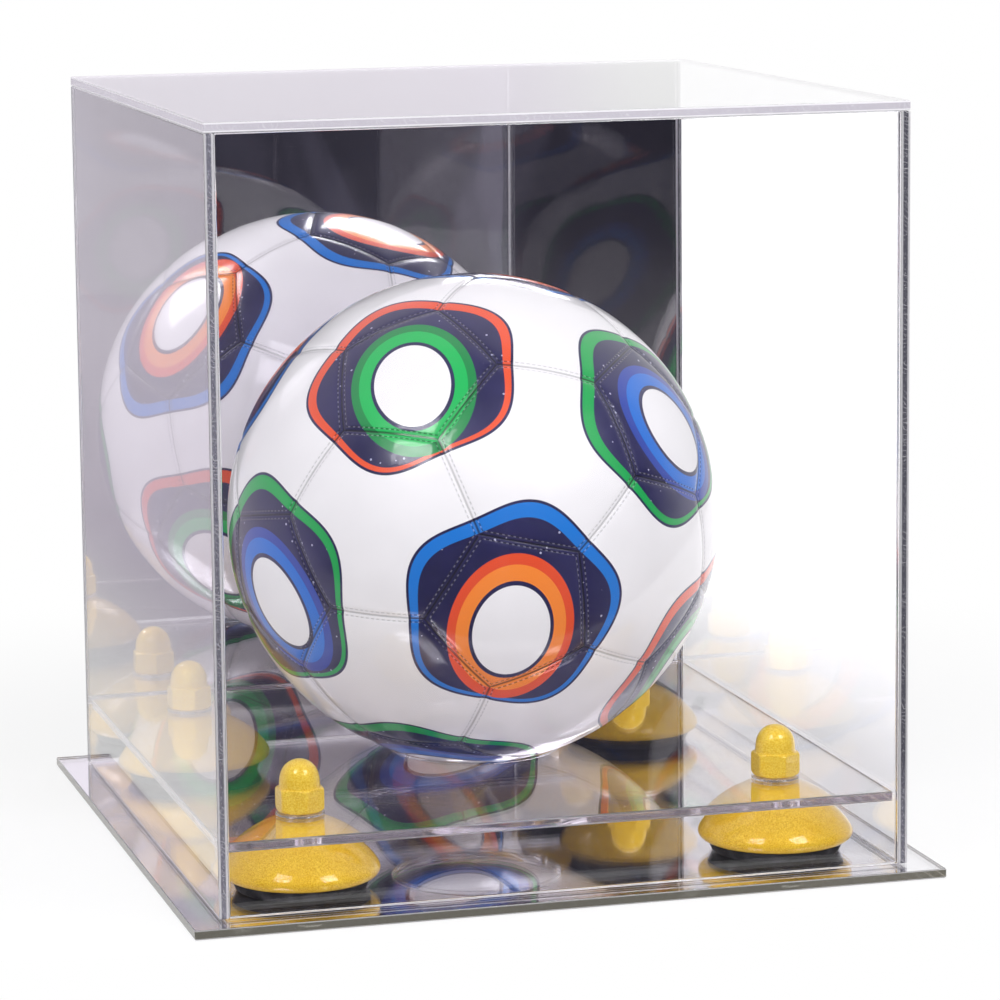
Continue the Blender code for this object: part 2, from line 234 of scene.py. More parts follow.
def cut(mesh, tools):
    """The mesh with each of the tool meshes taken out of it."""
    helpers = [bpy.data.objects.new(mesh.name + "_cut", part) for part in (mesh, *tools)]
    for helper in helpers:
        bpy.context.scene.collection.objects.link(helper)
    for tool in helpers[1:]:
        step = helpers[0].modifiers.new("hole", "BOOLEAN")
        step.object = tool
        step.solver = "EXACT"
    graph = bpy.context.evaluated_depsgraph_get()
    result = bpy.data.meshes.new_from_object(helpers[0].evaluated_get(graph))
    for helper in helpers:
        bpy.data.objects.remove(helper)
    result.name = mesh.name + "_cut"
    return close_up(result)


def sawn_sides(mesh, thin):
    """Give slot 1 to the outer edge of a sheet. Its broad faces and its holes stay in slot 0."""
    points = np.empty(len(mesh.vertices) * 3)
    mesh.vertices.foreach_get("co", points)
    points = points.reshape(-1, 3)
    centres = face_values(mesh, "center")
    reach = np.minimum(centres - points.min(axis=0), points.max(axis=0) - centres)
    reach[:, thin] = 1
    outer = (reach.min(axis=1) < EDGE_BREAK) & (np.abs(face_values(mesh, "normal")[:, thin]) < 0.98)
    mesh.polygons.foreach_set("material_index", outer.astype(np.int32))


def fit(name, mesh, materials, body, slot, *nodes):
    """Put a finished mesh on its body as a named piece that stands for the given CAD nodes."""
    piece = bpy.data.objects.new(name, mesh)
    bpy.context.scene.collection.objects.link(piece)
    mesh.materials.clear()
    for material in materials:
        mesh.materials.append(material)
    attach(piece, body)
    if nodes:
        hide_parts(*nodes)


def saw_marks():
    """Node group for a sawn edge: strokes about 3 mm apart that the saw left at a slant, and patches of fine
    lines and short scratches between them."""
    tree, given, wanted = new_group("saw_marks", {
        "Position": (0.0, 0.0, 0.0),
        "Slant": 0.6,
        "Strokes": 0.8,
    }, ("Height", "Marks"))
    parts = node(tree, "SeparateXYZ", {0: given["Position"]}).outputs
    lean = maths(tree, "MULTIPLY", parts[2], given["Slant"])
    run = maths(tree, "ADD", maths(tree, "ADD", parts[0], parts[1]), lean)
    patch = noise(tree, given["Position"], 130.0, 2.0)
    line = node(tree, "CombineXYZ", {0: maths(tree, "MULTIPLY", run, 1100.0)}).outputs[0]
    fine = noise(tree, line, 1.0, 3.0, Roughness=0.7)
    hatch = step_up(tree, fine, 0.5, 0.75)
    hatch = maths(tree, "MULTIPLY", hatch, step_up(tree, patch, 0.42, 0.62, 0.1, 0.5))
    beat = maths(tree, "ADD", maths(tree, "MULTIPLY", run, 300.0), maths(tree, "MULTIPLY", patch, 5.0))
    beat = maths(tree, "ABSOLUTE", maths(tree, "SUBTRACT", maths(tree, "FRACT", beat), 0.5))
    stroke = step_up(tree, beat, 0.42, 0.48)
    stroke = maths(tree, "MULTIPLY", stroke, step_up(tree, patch, 0.4, 0.6, 0.1, 1.0))
    stroke = maths(tree, "MULTIPLY", stroke, given["Strokes"])
    grid = node(tree, "Mapping", {"Vector": given["Position"], "Rotation": (0.5, 0.5, 0.0)}).outputs[0]
    grid = node(tree, "Mapping", {"Vector": grid, "Scale": (3600.0, 3600.0, 420.0)}).outputs[0]
    scratch = step_up(tree, noise(tree, grid, 1.0, 1.0), 0.58, 0.75)
    scratch = maths(tree, "MULTIPLY", scratch, given["Strokes"])
    marks = maths(tree, "MAXIMUM", maths(tree, "MAXIMUM", hatch, stroke), scratch)
    tree.links.new(fine, wanted["Height"])
    tree.links.new(marks, wanted["Marks"])
    return tree


def handling():
    """Node group for polished acrylic: faint wiping smears, and a long wave from the sheet's casting."""
    tree, given, wanted = new_group("handling", {"Position": (0.0, 0.0, 0.0)}, ("Smear", "Wave"))
    stretch = node(tree, "Mapping", {"Vector": given["Position"], "Scale": (14.0, 9.0, 30.0)}).outputs[0]
    smear = noise(tree, stretch, 1.0, 5.0, Distortion=0.8)
    wave = noise(tree, given["Position"], 11.0, 1.0)
    tree.links.new(step_up(tree, smear, 0.45, 0.8), wanted["Smear"])
    tree.links.new(wave, wanted["Wave"])
    return tree


SAW_MARKS = saw_marks()
HANDLING = handling()


def straight_through(tree, shader, colour):
    """Let lamp rays and light that has been scattered go straight through the shader's surface, as light
    does through a thin clear sheet."""
    path = node(tree, "LightPath").outputs
    scattered = maths(tree, "GREATER_THAN", path["Diffuse Depth"], 0.5)
    share = maths(tree, "MAXIMUM", path["Is Shadow Ray"], scattered)
    open_air = node(tree, "BsdfTransparent", {"Color": colour}).outputs[0]
    both = node(tree, "MixShader", {0: share, 1: shader.outputs[0], 2: open_air}).outputs[0]
    tree.links.new(both, tree.nodes["Material Output"].inputs["Surface"])


def clear_acrylic():
    """Polished clear acrylic, with faint smears where it has been wiped."""
    material, tree, glass = new_material("clear_acrylic", {
        "Base Color": (0.985, 0.980, 0.992, 1.0),
        "IOR": 1.49,
        "Transmission Weight": 1.0,
    })
    position = node(tree, "TexCoord").outputs["Object"]
    hands = place_group(tree, HANDLING, {"Position": position})
    tree.links.new(maths(tree, "MULTIPLY", hands["Smear"], 0.012), glass.inputs["Roughness"])
    straight_through(tree, glass, (0.97, 0.965, 0.975, 1.0))
    return material


def sawn_edge(name, thin, faces, rim, slant, strokes, relief, clear, tint_and_painted_light):
    """Sawn edge of a clear sheet that is thin along one axis, with its two faces at the given distances from
    the middle of the case. Its marks, fainter where their relief is low, scatter light and look pale, and
    between them you see dimly into the sheet, through a dull tone given for each sheet that is partly the
    edge's tint and partly painted light and shade. Along both faces the corner is broken, and a rim as wide
    as given is rough and painted white, partly as a painted highlight of the light that the broken corner
    catches."""
    material, tree, glass = new_material(name, {"IOR": 1.49, "Transmission Weight": clear})
    position = node(tree, "TexCoord").outputs["Object"]
    saw = place_group(tree, SAW_MARKS, {"Position": position, "Slant": slant, "Strokes": strokes})
    depth = maths(tree, "ABSOLUTE", node(tree, "SeparateXYZ", {0: position}).outputs[thin])
    # The two rims along the faces are painted white, partly a painted highlight where the broken corners
    # catch light.
    inner_rim_highlight = step_up(tree, depth, faces[0] + rim, faces[0] + rim + 0.0003, 0.9, 0.0)
    outer_rim_highlight = step_up(tree, depth, faces[1] - rim - 0.0003, faces[1] - rim, 0.0, 0.9)
    marks = maths(tree, "MULTIPLY", saw["Marks"], min(1.0, 2.5 * relief))
    pale = maths(tree, "MAXIMUM", marks, maths(tree, "MAXIMUM", inner_rim_highlight, outer_rim_highlight))
    # The dull tone given for each sheet is partly the edge's tint and partly painted light and shade.
    tree.links.new(blend_colours(tree, pale, tint_and_painted_light, (0.93, 0.92, 0.95, 1.0)), glass.inputs["Base Color"])
    tree.links.new(step_up(tree, pale, 0.0, 1.0, 0.05, 0.5), glass.inputs["Roughness"])
    emboss(tree, glass, saw["Height"], relief, 0.0002)
    straight_through(tree, glass, (0.8, 0.8, 0.82, 1.0))
    return material


def silver(name):
    """Silvering seen through its clear sheet. It follows the sheet's long casting wave, which bends what it
    mirrors a little."""
    material, tree, shader = new_material(name, {
        "Base Color": (0.93, 0.925, 0.94, 1.0),
        "Metallic": 1.0,
    })
    position = node(tree, "TexCoord").outputs["Object"]
    hands = place_group(tree, HANDLING, {"Position": position})
    tree.links.new(maths(tree, "MULTIPLY", hands["Smear"], 0.02), shader.inputs["Roughness"])
    emboss(tree, shader, hands["Wave"], 1.0, 0.00012)
    return material


def backing_paint():
    """Matt grey paint rolled over the silver, with the roller's fine stipple."""
    material, tree, shader = new_material("backing_paint", {"Specular IOR Level": 0.35})
    position = node(tree, "TexCoord").outputs["Object"]
    stipple = noise(tree, position, 900.0, 3.0)
    cloud = noise(tree, position, 22.0, 4.0)
    shade = blend_colours(tree, step_up(tree, cloud, 0.3, 0.7), paint(128, 129, 133), paint(141, 142, 146))
    tree.links.new(shade, shader.inputs["Base Color"])
    tree.links.new(step_up(tree, stipple, 0.3, 0.7, 0.5, 0.66), shader.inputs["Roughness"])
    emboss(tree, shader, stipple, 0.4, 0.0001)
    return material


def countersink(place, radius, shoulder, top):
    """Tool for one screw hole from below: a short cylinder, a cone in to the shank's hole, and the hole."""
    cone = shoulder + radius - SHANK_HOLE
    low = -DRILL_OVER
    profile = [(0, low), (radius, low), (radius, shoulder), (SHANK_HOLE, cone), (SHANK_HOLE, top), (0, top)]
    return close_up(grid_mesh("tool", turned(profile, 64, place)))


def painted_side(mesh, thin, side):
    """Give slot 1, the paint, to all faces of a silver film but those that look into the sheet."""
    painted = face_values(mesh, "normal")[:, thin] * side < 0.5
    mesh.polygons.foreach_set("material_index", painted.astype(np.int32))


CLEAR = clear_acrylic()
SILVER = silver("silvering")
PAINT = backing_paint()
BASE_FACES = (0.0, BASE_SHEET)
# The base's edge gets a dark olive dull tone, partly the edge's tint and partly painted shade.
BASE_EDGE = sawn_edge("sawn_edge_base", 2, BASE_FACES, 0.0003, 0.6, 0.1, 0.12, 0.6, paint(134, 130, 116))

base_low = (-BASE_HALF, -BASE_HALF, SILVER_FILM + FILM_GAP)
base_mesh = panel_mesh("base_clear", base_low, (BASE_HALF, BASE_HALF, BASE_SHEET), 2)
base_mesh = cut(base_mesh, [countersink(place, HEAD_HOLE, 0.0006, 0.006) for place in POSTS.values()])
fit("base_clear", base_mesh, [CLEAR, BASE_EDGE], "stand", "acrylic_mirror", "base_plate")
sawn_sides(base_mesh, 2)
film_half = BASE_HALF - EDGE_BREAK
base_film_high = (film_half, film_half, SILVER_FILM)
base_film = panel_mesh("base_silver", (-film_half, -film_half, 0), base_film_high, 2, FILM_BREAK)
base_film = cut(base_film, [countersink(place, HEAD_HOLE, 0.001, 0.008) for place in POSTS.values()])
fit("base_silver", base_film, [SILVER, PAINT], "stand", "acrylic_mirror")
painted_side(base_film, 2, 1)

# Foot pads. Four moulded discs of black rubber, a little narrower below, that keep the risers off the
# mirror. The screw passes through them, and the riser presses them flat on the base.
PAD_FLOOR = 0.0043
PAD_HEIGHT = 0.0045
PAD_TOP = 0.030
PAD_BOTTOM = 0.028


def black_rubber():
    """Moulded black rubber with a fine matt grain and patches of grey dust."""
    material, tree, shader = new_material("black_rubber", {"Specular IOR Level": 0.25})
    position = node(tree, "TexCoord").outputs["Object"]
    grain = noise(tree, position, 1600.0, 3.0)
    dust = noise(tree, position, 160.0, 4.0)
    shade = blend_colours(tree, step_up(tree, dust, 0.42, 0.75), paint(24, 23, 26), paint(56, 54, 59))
    tree.links.new(shade, shader.inputs["Base Color"])
    tree.links.new(step_up(tree, grain, 0.3, 0.7, 0.55, 0.75), shader.inputs["Roughness"])
    emboss(tree, shader, grain, 0.35, 0.0001)
    return material


RUBBER = black_rubber()
pad_profile = eased([
    (SHANK_HOLE, 0),
    (PAD_BOTTOM, 0),
    (PAD_TOP, PAD_HEIGHT),
    (SHANK_HOLE, PAD_HEIGHT),
], [0, 0.0007, 0.0004, 0])
for tag, place in POSTS.items():
    pad_mesh = close_up(grid_mesh("pad_" + tag, turned(pad_profile, 128, place, PAD_FLOOR), wrap_rows=True))
    fit("pad_" + tag, pad_mesh, [RUBBER], "stand", "black_rubber", "foot_pad_" + tag)

# Risers. Four low domes, spun or cast and sprayed with gold lacquer, which lift the shelf clear of the base.
# The lacquer holds fine metal flakes, and each riser is held down by the long screw through its middle.
RISER_FLOOR = 0.0091
RISER_HEIGHT = 0.022
RISER_RIM = 0.034
RISER_RIM_HEIGHT = 0.0034
RISER_FOOT = 0.0305
RISER_TOP = 0.011
RISER_LOWER_PULL = (0.034, 0.0060)
RISER_UPPER_PULL = (0.026, 0.0165)


def gold_lacquer(name, dark, light, cloudy):
    """Gold lacquer: fine metal flakes of two sizes tip and shade the colour under a smooth clear coat."""
    material, tree, shader = new_material(name, {
        "Metallic": 0.1,
        "Specular IOR Level": 0.1,
        "Coat Weight": 1.0,
        "Coat Roughness": 0.025,
    })
    position = node(tree, "TexCoord").outputs["Object"]
    small = node(tree, "TexVoronoi", {"Vector": position, "Scale": 4000.0}).outputs["Color"]
    large = node(tree, "TexVoronoi", {"Vector": position, "Scale": 2100.0}).outputs["Color"]
    small = node(tree, "SeparateXYZ", {0: small}).outputs[0]
    large = node(tree, "SeparateXYZ", {0: large}).outputs[1]
    cloud = noise(tree, position, 60.0, 3.0)
    flake = maths(tree, "ADD", maths(tree, "MULTIPLY", small, 0.55), maths(tree, "MULTIPLY", large, 0.45))
    base = blend_colours(tree, step_up(tree, flake, 0.1, 0.9), dark, light)
    shade = blend_colours(tree, step_up(tree, cloud, 0.35, 0.75, 0.0, 0.3), base, cloudy)
    tree.links.new(shade, shader.inputs["Base Color"])
    tree.links.new(step_up(tree, flake, 0.2, 0.9, 0.55, 0.38), shader.inputs["Roughness"])
    emboss(tree, shader, flake, 0.2, 0.00006)
    return material


def riser_profile():
    """From the bore out along the flat foot, a quarter of an ellipse out to the rim, a cubic curve that
    leans in from the rim and flattens towards the top, and back over the flat top to the bore."""
    swing = np.linspace(np.pi / 2, 0, 14)
    share = np.linspace(0, 1, 40)[1:, None]
    dome = (
        (1 - share) ** 3 * np.array([RISER_RIM, RISER_RIM_HEIGHT])
        + 3 * share * (1 - share) ** 2 * np.array(RISER_LOWER_PULL)
        + 3 * share ** 2 * (1 - share) * np.array(RISER_UPPER_PULL)
        + share ** 3 * np.array([RISER_TOP, RISER_HEIGHT])
    )
    foot = np.stack((
        RISER_FOOT + (RISER_RIM - RISER_FOOT) * np.cos(swing),
        RISER_RIM_HEIGHT * (1 - np.sin(swing)),
    ), axis=-1)
    flat = [(RISER_TOP - 0.0012, RISER_HEIGHT), (SHANK_HOLE, RISER_HEIGHT)]
    return np.vstack(([(SHANK_HOLE, 0)], foot, dome, flat))


GOLD = gold_lacquer("gold_lacquer", paint(210, 159, 12), paint(245, 208, 68), paint(226, 174, 24))
for tag, place in POSTS.items():
    dome_points = turned(riser_profile(), 144, place, RISER_FLOOR)
    dome = close_up(grid_mesh("dome_" + tag, dome_points, wrap_rows=True))
    fit("dome_" + tag, dome, [GOLD], "stand", "gold", "riser_" + tag)

# Shelf. A clear acrylic sheet on the four risers, with a polished round hole that the ball sits in and a
# drilled hole over each riser for the washer's collar. Its outer edge is sawn.
SHELF_HALF = 0.1466
SHELF_FLOOR = 0.0314
SHELF_SHEET = 0.0042
SEAT_HOLE = 0.03875
COLLAR_HOLE = 0.0063

SHELF_TOP = SHELF_FLOOR + SHELF_SHEET
SHELF_FACES = (SHELF_FLOOR, SHELF_TOP)
# The shelf's edge gets a pale lavender dull tone, partly the edge's tint and partly painted light.
SHELF_EDGE = sawn_edge("sawn_edge_shelf", 2, SHELF_FACES, 0.0006, 0.4, 0.2, 0.06, 0.86, paint(246, 236, 249))

shelf_low = (-SHELF_HALF, -SHELF_HALF, SHELF_FLOOR)
shelf_mesh = panel_mesh("shelf_clear", shelf_low, (SHELF_HALF, SHELF_HALF, SHELF_TOP), 2)
drills = [hole_tool((0, 0), SEAT_HOLE, SHELF_FLOOR, SHELF_TOP, EDGE_BREAK)]
drills += [hole_tool(place, COLLAR_HOLE, SHELF_FLOOR, SHELF_TOP) for place in POSTS.values()]
shelf_mesh = cut(shelf_mesh, drills)
fit("shelf_clear", shelf_mesh, [CLEAR, SHELF_EDGE], "stand", "clear_acrylic", "shelf")
sawn_sides(shelf_mesh, 2)

# Washers. Each is a thin clear nylon flange under the nut with a collar that drops into the shelf's hole, so
# that the nut grips the shelf without marking it.
WASHER_FLOOR = 0.0359
WASHER_FLANGE = 0.001
WASHER_RADIUS = 0.0105
COLLAR_RADIUS = 0.006
COLLAR_LENGTH = 0.0045


def clear_nylon():
    """Moulded clear nylon: slightly milky, with a satin skin. Lamp rays go straight through it."""
    material, tree, glass = new_material("clear_nylon", {
        "Base Color": (0.93, 0.93, 0.94, 1.0),
        "IOR": 1.5,
        "Transmission Weight": 0.9,
    })
    position = node(tree, "TexCoord").outputs["Object"]
    skin = noise(tree, position, 700.0, 3.0)
    tree.links.new(step_up(tree, skin, 0.3, 0.7, 0.04, 0.16), glass.inputs["Roughness"])
    straight_through(tree, glass, (0.9, 0.9, 0.91, 1.0))
    return material


NYLON = clear_nylon()
washer_profile = eased([
    (SHANK_HOLE, -COLLAR_LENGTH),
    (COLLAR_RADIUS, -COLLAR_LENGTH),
    (COLLAR_RADIUS, 0),
    (WASHER_RADIUS, 0),
    (WASHER_RADIUS, WASHER_FLANGE),
    (SHANK_HOLE, WASHER_FLANGE),
], [0, 0.0003, 0, 0.00025, 0.00035, 0])
for tag, place in POSTS.items():
    flange_points = turned(washer_profile, 96, place, WASHER_FLOOR)
    flange = close_up(grid_mesh("flange_" + tag, flange_points, wrap_rows=True))
    fit("flange_" + tag, flange, [NYLON], "stand", "clear_nylon", "washer_" + tag)

# Screws. Long flat-head machine screws of zinc plated steel with a hexagon socket. They come up from under
# the base through pad, riser and shelf into the nuts.
SCREW_FLOOR = 0.0003
SCREW_LENGTH = 0.0486
SCREW_HEAD = 0.006
SCREW_RIM = 0.0003
SCREW_CONE = 0.0033
SCREW_SHANK = 0.003
THREAD_PITCH = 0.001
THREAD_DEPTH = 0.0005
THREAD_START = 0.004
THREAD_FADE = 0.002
SOCKET_FLATS = 0.002
SOCKET_DEPTH = 0.0018


def zinc_steel():
    """Zinc plated steel: bright grey with faint cloudy patches of the plating."""
    material, tree, shader = new_material("zinc_steel", {"Metallic": 1.0})
    position = node(tree, "TexCoord").outputs["Object"]
    cloud = noise(tree, position, 420.0, 4.0)
    shade = blend_colours(tree, step_up(tree, cloud, 0.3, 0.7), paint(176, 178, 184), paint(208, 209, 212))
    tree.links.new(shade, shader.inputs["Base Color"])
    tree.links.new(step_up(tree, cloud, 0.3, 0.7, 0.34, 0.22), shader.inputs["Roughness"])
    return material


def screw_grid(place):
    """A column starts in the middle of the socket, follows its hexagon down to the head's face, goes out and
    up the head's cone, then up the shank. There the radius is a triangle wave of height and turn, which
    makes the thread, and it fades out below the tip."""
    sides = 48
    turn = np.arange(sides) * 2 * np.pi / sides
    hexagon = SOCKET_FLATS / np.cos((turn + np.pi / 6) % (np.pi / 3) - np.pi / 6)
    head_radius = np.array([0, 1, 1, 1.08])[:, None] * hexagon
    head_height = np.array([SOCKET_DEPTH, SOCKET_DEPTH, 0.0001, 0])
    rim = [(SCREW_HEAD - 0.0002, 0), (SCREW_HEAD, 0.0002), (SCREW_HEAD, SCREW_RIM)]
    cone = np.array([*rim, (SCREW_SHANK, SCREW_CONE)])
    height = np.arange(0.0034, SCREW_LENGTH - 0.0004, THREAD_PITCH / 8)
    phase = (height[:, None] / THREAD_PITCH - turn / (2 * np.pi)) % 1
    wave = 2 * np.abs(phase - 0.5)
    fade = np.clip((height - THREAD_START) / THREAD_FADE, 0, 1)[:, None]
    shank = SCREW_SHANK - THREAD_DEPTH * fade * wave
    tip = np.array([(SCREW_SHANK - 0.0005, SCREW_LENGTH - 0.0002), (SCREW_SHANK - 0.0008, SCREW_LENGTH)])
    end = np.vstack((tip, [(0, SCREW_LENGTH)]))
    radius = np.vstack((
        head_radius,
        np.repeat(cone[:, :1], sides, axis=1),
        shank,
        np.repeat(end[:, :1], sides, axis=1),
    ))
    z = SCREW_FLOOR + np.concatenate((head_height, cone[:, 1], height, end[:, 1]))
    z = np.repeat(z[:, None], sides, axis=1)
    return np.stack((place[0] + radius * np.cos(turn), place[1] + radius * np.sin(turn), z), axis=-1)


STEEL = zinc_steel()
for tag, place in POSTS.items():
    bolt = close_up(grid_mesh("bolt_" + tag, screw_grid(place)))
    fit("bolt_" + tag, bolt, [STEEL], "stand", "zinc_steel", "screw_" + tag)

# Acorn nuts. Cast caps in gold lacquer, hexagon below and a tall dome above, which close the screws off on
# top of the shelf. Their copy of the lacquer is painted paler than the risers' as painted light, for the
# brighter light that reaches them from the front.
NUT_FLOOR = 0.0372
NUT_FLATS = 0.0095
NUT_CORNER = 0.01097
NUT_HEX_HEIGHT = 0.0105
NUT_HEIGHT = 0.0225
NUT_DOME = 0.0088
NUT_BORE_DEPTH = 0.013
NUT_FOOT_WIDTH = 0.0030
NUT_FOOT_HEIGHT = 0.0034
NUT_SHOULDER = 0.0024
NUT_SHARPNESS = 44
NUT_BLEND = 46.0
NUT_DOME_POWER = 2.7
NUT_TURN = math.radians(3)


def nut_grid(place):
    """In each direction the nut reaches as far as the nearer of a turned outline and a hexagon, joined by a
    high power mean that rounds the corners. The dome narrows as the square root of 1 minus a power of its
    height, and the turned outline is round above and below the hexagon."""
    sides = 144
    turn = np.arange(sides) * 2 * np.pi / sides
    faces = np.cos(turn[:, None] - np.arange(6) * np.pi / 3 - NUT_TURN)
    hexagon = np.sum(np.clip(faces, 0, 1) ** NUT_SHARPNESS, axis=1) ** (1 / NUT_SHARPNESS)
    hexagon = NUT_FLATS / hexagon
    bore = [(0, NUT_BORE_DEPTH), (SHANK_HOLE, NUT_BORE_DEPTH), (SHANK_HOLE, 0.0006), (0.0039, 0)]
    swing = np.linspace(0, np.pi / 2, 9)
    reach = NUT_CORNER + 0.0004
    in_swing, out_swing = 1 - np.sin(swing), 1 - np.cos(swing)
    lower = np.stack((reach - NUT_FOOT_WIDTH * in_swing, NUT_FOOT_HEIGHT * out_swing), axis=-1)
    top = NUT_HEX_HEIGHT - NUT_SHOULDER * in_swing
    upper = np.stack((reach - NUT_SHOULDER * out_swing, top), axis=-1)
    share = np.sin(np.linspace(0, np.pi / 2, 36))
    dome_radius = NUT_DOME * np.sqrt(np.clip(1 - share ** NUT_DOME_POWER, 0, 1))
    dome = np.stack((dome_radius, NUT_HEX_HEIGHT + (NUT_HEIGHT - NUT_HEX_HEIGHT) * share), axis=-1)
    dome[0] = (NUT_DOME + 0.00015, NUT_HEX_HEIGHT + 0.00005)
    outline = np.vstack((bore, lower, upper, dome))
    wall = outline[:, :1]
    near = np.maximum(wall, 0.001) ** -NUT_BLEND + hexagon ** -NUT_BLEND
    near = near ** (-1 / NUT_BLEND)
    radius = np.where(wall > NUT_DOME - 0.001, near, wall)
    z = NUT_FLOOR + np.repeat(outline[:, 1:], sides, axis=1)
    return np.stack((place[0] + radius * np.cos(turn), place[1] + radius * np.sin(turn), z), axis=-1)


# The nuts' lacquer is the risers' lacquer painted paler: painted light.
NUT_GOLD_PAINTED_LIGHT = gold_lacquer("gold_lacquer_nuts_painted_light", paint(226, 178, 30), paint(252, 224, 92), paint(238, 192, 44))
for tag, place in POSTS.items():
    acorn = close_up(grid_mesh("acorn_" + tag, nut_grid(place)), 30)
    fit("acorn_" + tag, acorn, [NUT_GOLD_PAINTED_LIGHT], "stand", "gold", "cap_nut_" + tag)

# Cover. Four clear acrylic sheets, the front between the two sides and the top over all of them, glued into
# a box with the mirror back. The faces are polished and the edges that show are sawn.
TOP_FACES = (0.3301, 0.3343)
WALL_FACES = (0.1478, 0.152)
# The top's edge gets a grey dull tone and the walls' edges a darker one, partly the edge's tint and partly
# painted shade.
TOP_EDGE = sawn_edge("sawn_edge_top", 2, TOP_FACES, 0.0006, 0.6, 0.3, 0.4, 0.3, paint(192, 188, 197))
SIDE_EDGE = sawn_edge("sawn_edge_sides", 0, WALL_FACES, 0.0009, 1.6, 0.7, 0.4, 0.6, paint(118, 117, 131))
FRONT_EDGE = sawn_edge("sawn_edge_front", 1, WALL_FACES, 0.0009, 1.6, 0.7, 0.4, 0.6, paint(118, 117, 131))
for name, node_name, thin, edge in (
    ("top_clear", "cover_top", 2, TOP_EDGE),
    ("front_clear", "cover_front", 1, FRONT_EDGE),
    ("left_clear", "cover_left", 0, SIDE_EDGE),
    ("right_clear", "cover_right", 0, SIDE_EDGE),
):
    sheet = panel_mesh(name, *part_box(node_name), thin)
    fit(name, sheet, [CLEAR, edge], "cover", "clear_acrylic", node_name)
    sawn_sides(sheet, thin)

# Mirror back. A clear acrylic sheet with the silver and its grey paint on the outer face, glued behind the
# sides and under the top.
back_low, back_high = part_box("cover_back")
sheet_back = back_high.y - SILVER_FILM - FILM_GAP
back_mesh = panel_mesh("back_clear", back_low, (back_high.x, sheet_back, back_high.z), 1)
fit("back_clear", back_mesh, [CLEAR, FRONT_EDGE], "cover", "acrylic_mirror", "cover_back")
sawn_sides(back_mesh, 1)
film_low = (back_low.x + EDGE_BREAK, back_high.y - SILVER_FILM, back_low.z + EDGE_BREAK)
film_high = (back_high.x - EDGE_BREAK, back_high.y, back_high.z - EDGE_BREAK)
back_film = panel_mesh("back_silver", film_low, film_high, 1, FILM_BREAK)
fit("back_silver", back_film, [SILVER, PAINT], "cover", "acrylic_mirror")
painted_side(back_film, 1, -1)

# Ball. A full-size match ball of glossy white coated panels, stitched from inside. Twelve of its panels lie
# in printed rings of navy with green, orange or blue bands. It rests in the shelf's hole.
BALL_RADIUS = 0.111
BALL_CENTRE = np.array([0.0, 0.0, 0.13984])
VALVE_WAY = np.array([0.86818, 0.20043, -0.45399])
VALVE_HOLE = 0.0053
PANEL_TURN = math.radians(20)
RING_KINDS = np.array([0, 0, 1, 1, 0, 2, 1, 2, 2, 2, 1, 0])
GOLDEN = (1 + math.sqrt(5)) / 2
GROOVE_DEPTH = 0.0005
GROOVE_MM = 1.5
FALL_DEPTH = 0.00035
FALL_MM = 6
OVAL_SHIFT_MM = 8.5
OVAL_STRETCH = 1.28
OUTLINE_WAVE = 0.05
TAPER_MM = 2.2
RING_LEAN = 2.4


def unit(vectors):
    """Vectors scaled to length 1."""
    return vectors / np.linalg.norm(vectors, axis=-1, keepdims=True)


def ball_layout():
    """Middles of the 12 printed panels and the 90 seams of a ball of 32 panels. The middles are the corners
    of an icosahedron, and a seam is the arc between two points a third of the way along its edges. The
    whole is turned so that a plain panel has the valve in its middle."""
    quarter = np.array([(0, a, b * GOLDEN) for a in (1, -1) for b in (1, -1)])
    middles = unit(np.vstack((quarter, np.roll(quarter, 1, axis=1), np.roll(quarter, 2, axis=1))))
    near = middles @ middles.T
    near = (near > 0.3) & (near < 0.9)
    first, second = np.nonzero(np.triu(near))
    plain = (2 * middles[first] + middles[second], middles[first] + 2 * middles[second])
    i, j, k = np.nonzero(near[:, :, None] & near[:, None, :] & near[None])
    ringed = j < k
    i, j, k = i[ringed], j[ringed], k[ringed]
    round_middle = (2 * middles[i] + middles[j], 2 * middles[i] + middles[k])
    starts = unit(np.vstack((plain[0], round_middle[0])))
    ends = unit(np.vstack((plain[1], round_middle[1])))
    way = unit(middles[i[0]] + middles[j[0]] + middles[k[0]])
    side = unit(middles[i[0]] - way * (middles[i[0]] @ way))
    old = np.stack((side, np.cross(way, side), way))
    flat = unit(np.cross(VALVE_WAY, (0, 0, 1)))
    flat = np.cos(PANEL_TURN) * flat + np.sin(PANEL_TURN) * np.cross(VALVE_WAY, flat)
    new = np.stack((flat, np.cross(VALVE_WAY, flat), VALVE_WAY))
    spin = old.T @ new
    return middles @ spin, starts @ spin, ends @ spin, near


MIDDLES, SEAM_STARTS, SEAM_ENDS, NEAR = ball_layout()
SEAM_NORMALS = unit(np.cross(SEAM_STARTS, SEAM_ENDS))
SEAM_MIDDLES = unit(SEAM_STARTS + SEAM_ENDS)
SEAM_WAYS = np.cross(SEAM_NORMALS, SEAM_MIDDLES)
SEAM_HALVES = np.arccos(np.sum(SEAM_STARTS * SEAM_ENDS, axis=1)) / 2


def seam_distance(directions):
    """Angle from each direction to every seam: sideways off its great circle, and past its ends."""
    across = np.arcsin(np.clip(directions @ SEAM_NORMALS.T, -1, 1))
    along = np.arctan2(directions @ SEAM_WAYS.T, directions @ SEAM_MIDDLES.T)
    return np.hypot(across, np.maximum(np.abs(along) - SEAM_HALVES, 0))


def ball_directions():
    """Directions over the ball in rings about the valve, from the edge of its hole to the far pole."""
    rings, columns = 236, 380
    tilt = np.linspace(math.asin((VALVE_HOLE + 0.0005) / BALL_RADIUS), np.pi, rings)[:, None]
    turn = np.arange(columns)[None, :] * 2 * np.pi / columns
    side = unit(np.cross(VALVE_WAY, (0, 0, 1)))
    other = np.cross(VALVE_WAY, side)
    flat = np.cos(turn)[..., None] * side + np.sin(turn)[..., None] * other
    return np.cos(tilt)[..., None] * VALVE_WAY + np.sin(tilt)[..., None] * flat, flat


